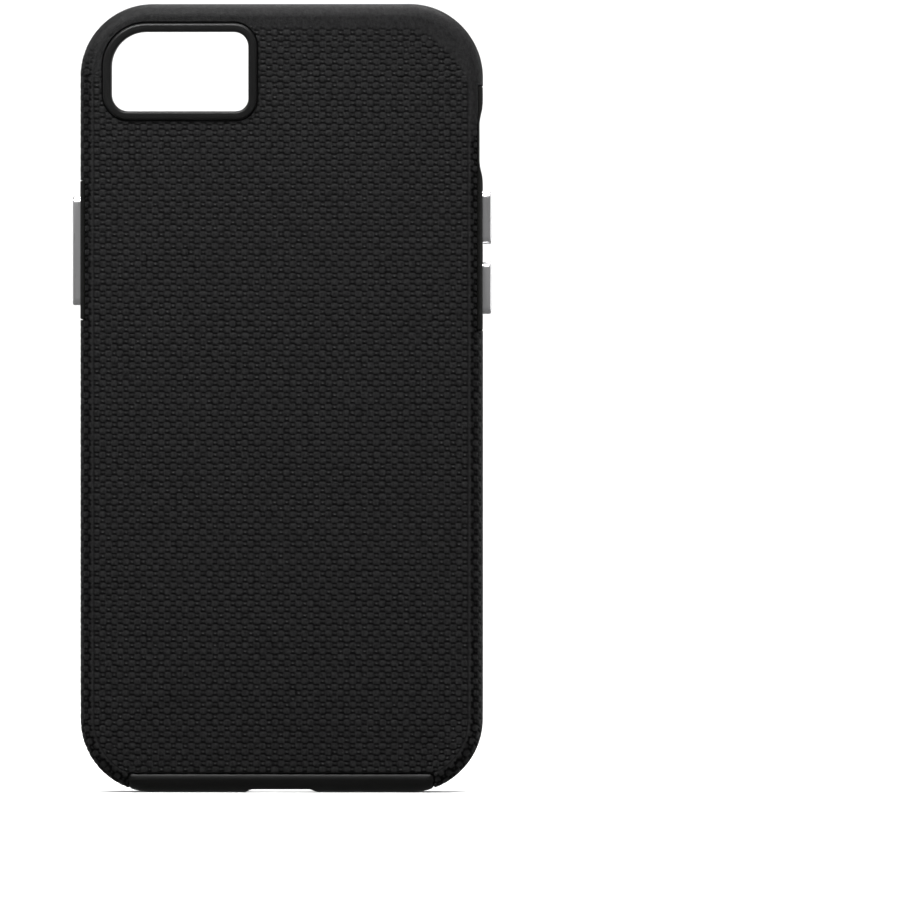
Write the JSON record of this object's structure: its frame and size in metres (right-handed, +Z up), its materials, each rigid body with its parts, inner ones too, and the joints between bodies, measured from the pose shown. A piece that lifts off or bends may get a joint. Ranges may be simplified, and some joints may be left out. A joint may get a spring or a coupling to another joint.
{
  "type": "phone case",
  "caption": "Dual-layer phone case: hard woven-texture shell over a rubbery liner with a raised camera ring and metal side buttons.",
  "frame": {"origin": "middle of the flat face inside the liner that the phone's back rests on", "axes": "+Z up towards the camera end, +Y towards the textured back, -Y towards the open screen side, +X towards the power button"},
  "size_m": [0.076, 0.0114, 0.143],
  "materials": {
    "shell": "matte, moulded weave relief",
    "liner": "satin",
    "ring": "satin",
    "button_metal": "polished, finely brushed",
    "plunger": "matte",
    "web": "matte"
  },
  "bodies": {
    "case": {"outer_shell": "shell", "inner_liner": "liner", "camera_ring": "ring", "power_web": "web", "volume_up_web": "web", "volume_down_web": "web"},
    "power_key": {"power_button": "button_metal", "power_plunger": "plunger"},
    "volume_up_key": {"volume_up_button": "button_metal", "volume_up_plunger": "plunger"},
    "volume_down_key": {"volume_down_button": "button_metal", "volume_down_plunger": "plunger"}
  },
  "joints": [
    {"name": "power_press", "type": "slide", "parent": "case", "child": "power_key", "axis": [-1, 0, 0], "range_m": [0, 0.0004], "stiffness_N_per_m": 2500, "deforming": ["power_web"]},
    {"name": "volume_up_press", "type": "slide", "parent": "case", "child": "volume_up_key", "axis": [1, 0, 0], "range_m": [0, 0.0004], "stiffness_N_per_m": 2500, "deforming": ["volume_up_web"]},
    {"name": "volume_down_press", "type": "slide", "parent": "case", "child": "volume_down_key", "axis": [1, 0, 0], "range_m": [0, 0.0004], "stiffness_N_per_m": 2500, "deforming": ["volume_down_web"]}
  ]
}
